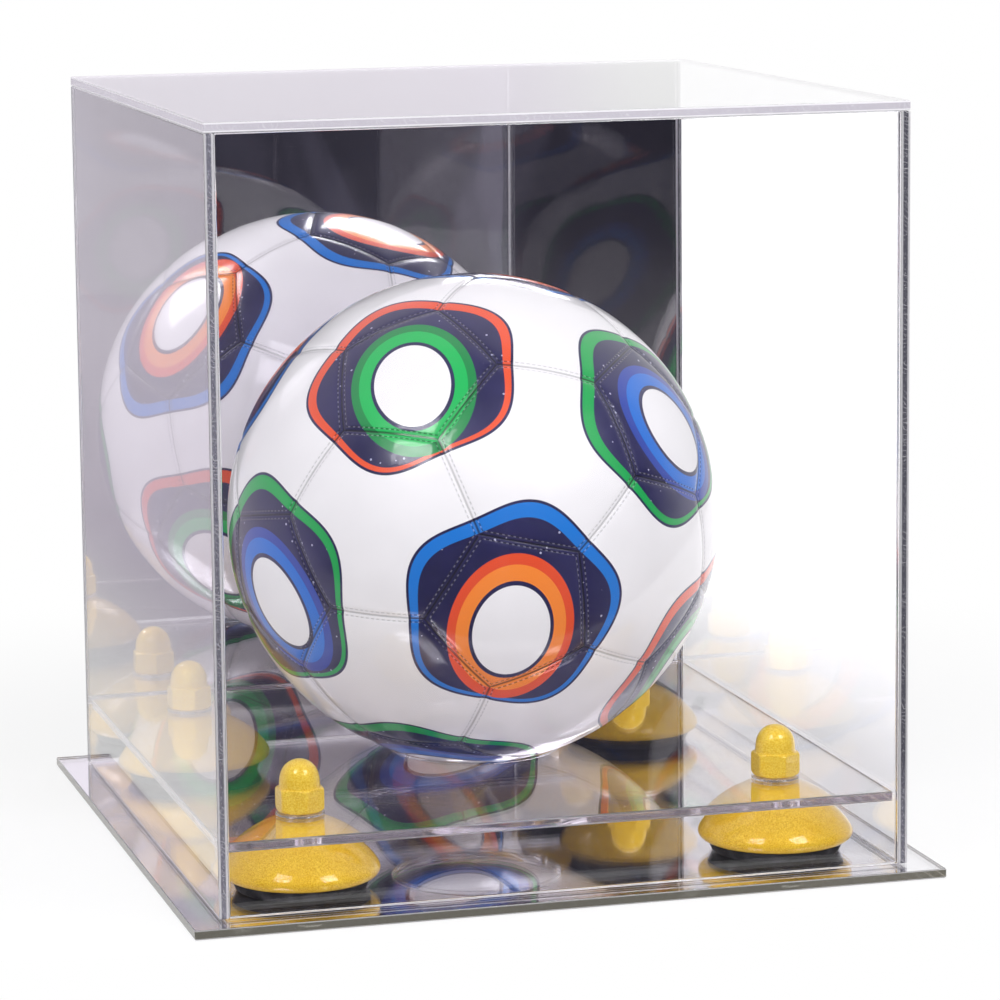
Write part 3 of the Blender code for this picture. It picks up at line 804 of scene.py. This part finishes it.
def ball_grid():
    """The radius is the ball's own, less a groove along the seams and a slight fall towards them. Three rows
    before the first ring make the lip of the valve's hole."""
    directions, flat = ball_directions()
    gap = np.min(seam_distance(directions.reshape(-1, 3)), axis=1).reshape(directions.shape[:2])
    gap = gap * BALL_RADIUS * 1000
    groove = GROOVE_DEPTH * np.exp(-(gap / GROOVE_MM) ** 2)
    radius = BALL_RADIUS - groove - FALL_DEPTH * np.exp(-gap / FALL_MM)
    skin = BALL_CENTRE + directions * radius[..., None]
    lip = np.array([(VALVE_HOLE, 0.1072), (VALVE_HOLE, 0.1103), (VALVE_HOLE + 0.00012, 0.1106)])
    edge = BALL_CENTRE + lip[:, 1, None, None] * VALVE_WAY + lip[:, 0, None, None] * flat
    return np.concatenate((edge, skin))


def corner_values(points):
    """For every corner of every face: how far it lies from its printed ring's inner oval and outer outline,
    and where it lies along and across the nearest seam, all in millimetres. A face keeps to one ring and
    one seam."""
    grid = unit(points - BALL_CENTRE)
    grid = np.concatenate((grid, grid[:, :1]), axis=1)
    corners = np.stack((grid[:-1, :-1], grid[1:, :-1], grid[1:, 1:], grid[:-1, 1:]), axis=2)
    corners = corners.reshape(-1, 4, 3)
    centres = unit(corners.mean(axis=1))
    ring = np.argmax(centres @ MIDDLES.T, axis=1)
    seam = np.argmin(seam_distance(centres), axis=1)
    millimetres = BALL_RADIUS * 1000
    across = np.arcsin(np.clip(np.sum(corners * SEAM_NORMALS[seam][:, None], axis=2), -1, 1))
    forward = np.sum(corners * SEAM_WAYS[seam][:, None], axis=2)
    along = np.arctan2(forward, np.sum(corners * SEAM_MIDDLES[seam][:, None], axis=2))
    neighbour = MIDDLES[np.argmax(NEAR, axis=1)]
    east = unit(neighbour - MIDDLES * np.sum(neighbour * MIDDLES, axis=1, keepdims=True))
    north = np.cross(MIDDLES, east)
    tilt = np.arccos(np.clip(np.sum(corners * MIDDLES[ring][:, None], axis=2), -1, 1)) * millimetres
    turn = np.sum(corners * north[ring][:, None], axis=2)
    turn = np.arctan2(turn, np.sum(corners * east[ring][:, None], axis=2))
    lean = (np.arange(12) * RING_LEAN)[ring][:, None]
    u = tilt * np.cos(turn - lean)
    v = tilt * np.sin(turn - lean)
    inner = np.hypot((u - OVAL_SHIFT_MM) / OVAL_STRETCH, v)
    outer = tilt * (1 + OUTLINE_WAVE * np.cos(5 * turn))
    taper = TAPER_MM * np.cos(turn - lean)
    kind = np.repeat(RING_KINDS[ring][:, None], 4, axis=1)
    return {
        "rings": np.stack((inner, outer), axis=-1),
        "seams": np.stack((along * millimetres, across * millimetres), axis=-1),
        "tones": np.stack((taper, kind + 0.5), axis=-1),
    }


def printed_leather():
    """Coated panels with their print and stitching. The print is a stack of bands, each over the one before,
    whose edges are values of the ring's outer outline or inner oval. The seams' grooves and the stitch holes
    are darkened as painted shade, and the pale dashes of thread between the holes are partly the thread's
    colour and partly a painted glint."""
    material, tree, shader = new_material("printed_leather", {
        "Coat Weight": 0.8,
        "Coat Roughness": 0.08,
        "IOR": 1.5,
    })
    position = node(tree, "TexCoord").outputs["Object"]
    rings = node(tree, "SeparateXYZ", {0: node(tree, "UVMap", uv_map="rings").outputs[0]}).outputs
    seams = node(tree, "SeparateXYZ", {0: node(tree, "UVMap", uv_map="seams").outputs[0]}).outputs
    tones = node(tree, "SeparateXYZ", {0: node(tree, "UVMap", uv_map="tones").outputs[0]}).outputs
    inner, outer, taper = rings[0], rings[1], tones[0]
    second = maths(tree, "COMPARE", tones[1], 1.5, 0.4)
    third = maths(tree, "COMPARE", tones[1], 2.5, 0.4)

    def by_ring(*colours):
        return blend_colours(tree, third, blend_colours(tree, second, colours[0], colours[1]), colours[2])

    def below(value, edge):
        return step_up(tree, maths(tree, "SUBTRACT", value, edge), -0.14, 0.14, 1.0, 0.0)

    cloud = noise(tree, position, 45.0, 3.0)
    white = blend_colours(tree, step_up(tree, cloud, 0.3, 0.7), paint(246, 245, 246), paint(250, 249, 250))
    navy = blend_colours(tree, step_up(tree, cloud, 0.3, 0.7), paint(27, 26, 74), paint(35, 33, 86))
    bright = by_ring(paint(0, 186, 88), paint(255, 140, 45), paint(0, 112, 214))
    deep = by_ring(paint(0, 138, 68), paint(236, 78, 34), paint(38, 68, 168))
    line = by_ring(paint(238, 84, 40), paint(0, 120, 214), paint(0, 168, 80))
    cell = node(tree, "TexVoronoi", {"Vector": position, "Scale": 230.0, "Randomness": 0.9}).outputs
    chosen = maths(tree, "GREATER_THAN", node(tree, "SeparateXYZ", {0: cell["Color"]}).outputs[0], 0.4)
    dot = maths(tree, "MULTIPLY", chosen, maths(tree, "LESS_THAN", cell["Distance"], 0.12))
    dotted = blend_colours(tree, maths(tree, "MULTIPLY", dot, 0.85), navy, paint(196, 196, 222))
    printed = below(outer, 48.4)
    colour = blend_colours(tree, printed, white, navy)
    for value, edge, band in (
        (outer, 47.2, line),
        (outer, maths(tree, "ADD", taper, 43.2), dotted),
        (inner, 28.0, deep),
        (inner, 24.2, bright),
        (inner, 18.6, navy),
        (inner, 17.0, white),
    ):
        colour = blend_colours(tree, below(value, edge), colour, band)
    # Seams: the groove and the stitch holes are darkened as painted shade, and the pale thread dashes
    # between the holes are partly a painted glint.
    away = maths(tree, "ABSOLUTE", seams[1])
    groove = step_up(tree, away, 0.15, 0.75, 1.0, 0.0)
    row = step_up(tree, maths(tree, "ABSOLUTE", maths(tree, "SUBTRACT", away, 1.7)), 0.16, 0.42, 1.0, 0.0)
    beat = maths(tree, "FRACT", maths(tree, "MULTIPLY", seams[0], 0.4))
    dash = step_up(tree, maths(tree, "ABSOLUTE", maths(tree, "SUBTRACT", beat, 0.5)), 0.24, 0.33, 1.0, 0.0)
    painted_stitch_shade = maths(tree, "MULTIPLY", row, dash)
    thread_and_painted_glint = maths(tree, "MULTIPLY", row, maths(tree, "SUBTRACT", 1.0, dash))
    colour = blend_colours(tree, maths(tree, "MULTIPLY", thread_and_painted_glint, 0.2), colour, paint(214, 212, 226))
    # Painted shade in the seam's groove and stitch holes, at half strength on the white.
    dark = maths(tree, "MULTIPLY", groove, 0.8)
    dark = maths(tree, "MAXIMUM", dark, maths(tree, "MULTIPLY", painted_stitch_shade, 0.62))
    dark = maths(tree, "MULTIPLY", dark, step_up(tree, printed, 0.0, 1.0, 0.5, 1.0))
    painted_shade_scale = maths(tree, "SUBTRACT", 1.0, maths(tree, "MULTIPLY", dark, 0.9))
    colour_with_painted_shade = node(tree, "VectorMath", {0: colour, "Scale": painted_shade_scale}, operation="SCALE").outputs[0]
    tree.links.new(colour_with_painted_shade, shader.inputs["Base Color"])
    tree.links.new(step_up(tree, cloud, 0.3, 0.7, 0.30, 0.38), shader.inputs["Roughness"])
    height = maths(tree, "MULTIPLY", noise(tree, position, 1500.0, 2.0), 0.03)
    height = maths(tree, "SUBTRACT", height, maths(tree, "MULTIPLY", dark, 0.9))
    emboss(tree, shader, height, 0.7, 0.0006)
    return material


ball_points = ball_grid()
ball_mesh = grid_mesh("ball_skin", ball_points)
for name, values in corner_values(ball_points).items():
    ball_mesh.uv_layers.new(name=name).data.foreach_set("uv", values.astype(np.float32).ravel())
close_up(ball_mesh, 60, flats=False)
fit("ball_skin", ball_mesh, [printed_leather()], "ball", "ball_leather", "ball_cover")


def bladder_rubber():
    """Brown latex of the bladder inside the ball, matt and slightly mottled."""
    material, tree, shader = new_material("bladder_rubber", {"Specular IOR Level": 0.4})
    position = node(tree, "TexCoord").outputs["Object"]
    mottle = noise(tree, position, 90.0, 4.0)
    shade = blend_colours(tree, step_up(tree, mottle, 0.3, 0.7), paint(140, 84, 68), paint(168, 108, 88))
    tree.links.new(shade, shader.inputs["Base Color"])
    tree.links.new(step_up(tree, mottle, 0.3, 0.7, 0.5, 0.66), shader.inputs["Roughness"])
    return material


for name, material in (("ball_bladder", bladder_rubber()), ("ball_valve", RUBBER)):
    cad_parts[name].data.materials.clear()
    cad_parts[name].data.materials.append(material)

# Ground, studio and camera. A white sweep that ends just in front of the case, two softboxes above the
# camera, white walls behind and a dark room in front, which is what the mirror back shows.
CAMERA_TURN = math.radians(-15.34)
CAMERA_RISE = math.radians(8.6)
CAMERA_ROLL = math.radians(-0.64)
CAMERA_DISTANCE = 1.88859
CAMERA_TARGET = Vector((-0.00054, 0.0, 0.18069))
CAMERA_LENS = 150.54
CAMERA_SHIFT = (0.0304, -0.0718)
GROUND_RADIUS = 1.2
GROUND_MIDDLE = 1.005
GROUND_LEVEL = -0.0003
BOARD_END = 0.2843


def white_ground():
    """White in the camera's eye, and brighter than white through the right wall, with a share of the case's
    shadow near its middle. Where the left wall mirrors it, its left part is painted a greyer lavender, a
    painted reflection of a greyer studio."""
    material, tree, shader = new_material("white_ground", {"Roughness": 0.9, "Specular IOR Level": 0.0})
    position = node(tree, "TexCoord").outputs["Object"]
    paper = noise(tree, position, 900.0, 3.0)
    shade = blend_colours(tree, paper, (0.90, 0.90, 0.90, 1.0), (0.94, 0.94, 0.94, 1.0))
    tree.links.new(shade, shader.inputs["Base Color"])
    distance = node(tree, "VectorMath", {0: position}, operation="LENGTH").outputs["Value"]
    share = step_up(tree, distance, 0.26, 0.6, 0.3, 0.0)
    path = node(tree, "LightPath").outputs
    seen = maths(tree, "MAXIMUM", path["Is Camera Ray"], path["Is Glossy Ray"])
    seen = maths(tree, "MAXIMUM", seen, path["Is Transmission Ray"])
    sideways = node(tree, "SeparateXYZ", {0: position}).outputs[0]
    beyond = step_up(tree, sideways, 0.17, 0.3, 0.0, 0.7)
    beyond = maths(tree, "MULTIPLY", beyond, path["Is Transmission Ray"])
    strength = maths(tree, "ADD", step_up(tree, seen, 0.0, 1.0, 0.7, 1.0), beyond)
    # Seen in the glossy left wall, the ground's left part is painted a greyer lavender: a painted
    # reflection.
    painted_reflection_share = maths(tree, "MULTIPLY", step_up(tree, sideways, -0.3, -0.16, 1.0, 0.0), path["Is Glossy Ray"])
    near = step_up(tree, sideways, -0.55, -0.2)
    painted_reflection_grey = blend_colours(tree, near, (0.80, 0.745, 0.835, 1.0), (0.69, 0.63, 0.73, 1.0))
    tint = blend_colours(tree, painted_reflection_share, (1.0, 1.0, 1.0, 1.0), painted_reflection_grey)
    glow = node(tree, "Emission", {"Color": tint, "Strength": strength}).outputs[0]
    both = node(tree, "MixShader", {0: share, 1: glow, 2: shader.outputs[0]}).outputs[0]
    tree.links.new(both, tree.nodes["Material Output"].inputs["Surface"])
    return material


ground_turn = np.arange(128) * 2 * np.pi / 128
ground_radius = np.concatenate(([0], np.linspace(0.1, GROUND_RADIUS, 12)))
ground_points = np.stack((
    np.outer(ground_radius, np.cos(ground_turn)),
    np.outer(ground_radius, np.sin(ground_turn)) + GROUND_MIDDLE,
    np.full((len(ground_radius), len(ground_turn)), GROUND_LEVEL),
), axis=-1)
ground_mesh = close_up(grid_mesh("ground", ground_points))
ground = bpy.data.objects.new("ground", ground_mesh)
bpy.context.scene.collection.objects.link(ground)
ground_mesh.materials.append(white_ground())


def softbox(name, turn, rise, distance, size, power):
    """A square lamp that faces the case from a direction given in degrees."""
    lamp = bpy.data.lights.new(name, "AREA")
    lamp.size = size
    lamp.energy = power
    turn, rise = math.radians(turn), math.radians(rise)
    way = Vector((math.sin(turn) * math.cos(rise), -math.cos(turn) * math.cos(rise), math.sin(rise)))
    holder = bpy.data.objects.new(name, lamp)
    holder.location = Vector((0, 0, 0.12)) + way * distance
    holder.rotation_mode = "QUATERNION"
    holder.rotation_quaternion = way.to_track_quat("Z", "Y")
    bpy.context.scene.collection.objects.link(holder)


softbox("softbox_left", -47, 43, 1.7, 0.6, 10.0)
softbox("softbox_right", 27, 36, 1.2, 0.42, 5.0)


def studio():
    """The room round the case. What the camera and the clear sheets show is white, and brighter than white
    through the right wall, as in an overexposed picture. What the faces mirror is white behind and dim
    above, dark in front, with the folds of a black curtain, and greyer to the left."""
    world = bpy.data.worlds.new("studio")
    world.use_nodes = True
    world.cycles.sampling_method = "NONE"
    tree = world.node_tree
    direction = node(tree, "TexCoord").outputs["Generated"]
    way = node(tree, "SeparateXYZ", {0: direction}).outputs
    path = node(tree, "LightPath").outputs
    forward = maths(tree, "MAXIMUM", maths(tree, "MULTIPLY", way[1], -1.0), 0.01)
    front = maths(tree, "DIVIDE", way[0], forward)
    board = step_up(tree, front, 0.22, BOARD_END)
    board = maths(tree, "MULTIPLY", board, maths(tree, "LESS_THAN", front, BOARD_END))
    floor_light = step_up(tree, way[2], -0.14, -0.09, 0.06, 0.0)
    room = blend_colours(tree, board, (0.022, 0.021, 0.029, 1.0), (0.048, 0.046, 0.060, 1.0))
    hanging = node(tree, "Mapping", {"Vector": direction, "Scale": (16.0, 9.0, 6.0)}).outputs[0]
    folds = noise(tree, hanging, 1.0, 4.0, Distortion=1.6)
    lit_folds = step_up(tree, folds, 0.35, 0.6, 0.65, 1.2)
    lit_folds = maths(tree, "ADD", lit_folds, step_up(tree, folds, 0.62, 0.72, 0.0, 1.1))
    room = node(tree, "VectorMath", {0: room, "Scale": lit_folds}, operation="SCALE").outputs[0]
    behind = step_up(tree, way[1], -0.3, 0.25)
    ceiling = step_up(tree, way[2], 0.3, 0.85, 0.0, 0.2)
    open_side = maths(tree, "MAXIMUM", maths(tree, "MAXIMUM", behind, ceiling), floor_light)
    leftward = step_up(tree, way[0], -0.4, 0.05, 1.0, 0.0)
    rightward = step_up(tree, way[0], 0.27, 0.31)
    white = blend_colours(tree, rightward, (0.91, 0.87, 0.94, 1.0), (1.0, 1.0, 1.0, 1.0))
    white = blend_colours(tree, leftward, white, (0.76, 0.70, 0.80, 1.0))
    surroundings = blend_colours(tree, open_side, room, white)
    through = step_up(tree, way[0], 0.1, 0.25, 1.0, 1.7)
    sweep = node(tree, "CombineXYZ", {0: through, 1: through, 2: through}).outputs[0]
    mirrored = maths(tree, "GREATER_THAN", path["Glossy Depth"], 0.5)
    colour = blend_colours(tree, mirrored, sweep, surroundings)
    scattered = maths(tree, "GREATER_THAN", path["Diffuse Depth"], 0.5)
    glow = blend_colours(tree, mirrored, (0.68, 0.68, 0.69, 1.0), (1.0, 1.0, 1.0, 1.0))
    colour = blend_colours(tree, scattered, colour, glow)
    colour = blend_colours(tree, path["Is Camera Ray"], colour, (1.0, 1.0, 1.0, 1.0))
    tree.links.new(colour, tree.nodes["Background"].inputs["Color"])
    return world


bpy.context.scene.world = studio()


def place_camera():
    """Camera turned and raised about its target, tipped by the roll, with a slight shift of the frame."""
    data = bpy.data.cameras.new("camera")
    data.lens = CAMERA_LENS
    data.sensor_width = 36.0
    data.shift_x, data.shift_y = CAMERA_SHIFT
    data.clip_start = 0.05
    data.clip_end = 20.0
    camera = bpy.data.objects.new("camera", data)
    bpy.context.scene.collection.objects.link(camera)
    back = Vector((
        math.sin(CAMERA_TURN) * math.cos(CAMERA_RISE),
        -math.cos(CAMERA_TURN) * math.cos(CAMERA_RISE),
        math.sin(CAMERA_RISE),
    ))
    side = Vector((math.cos(CAMERA_TURN), math.sin(CAMERA_TURN), 0))
    right = side * math.cos(CAMERA_ROLL) + back.cross(side) * math.sin(CAMERA_ROLL)
    turn = Matrix((right, back.cross(right), back)).transposed().to_4x4()
    camera.matrix_world = Matrix.Translation(CAMERA_TARGET + back * CAMERA_DISTANCE) @ turn
    return camera


bpy.context.scene.camera = place_camera()

bpy.context.scene.view_settings.view_transform = "Standard"
cycles = bpy.context.scene.cycles
cycles.max_bounces = 28
cycles.diffuse_bounces = 4
cycles.glossy_bounces = 14
cycles.transmission_bounces = 24
cycles.transparent_max_bounces = 32
cycles.sample_clamp_indirect = 8.0
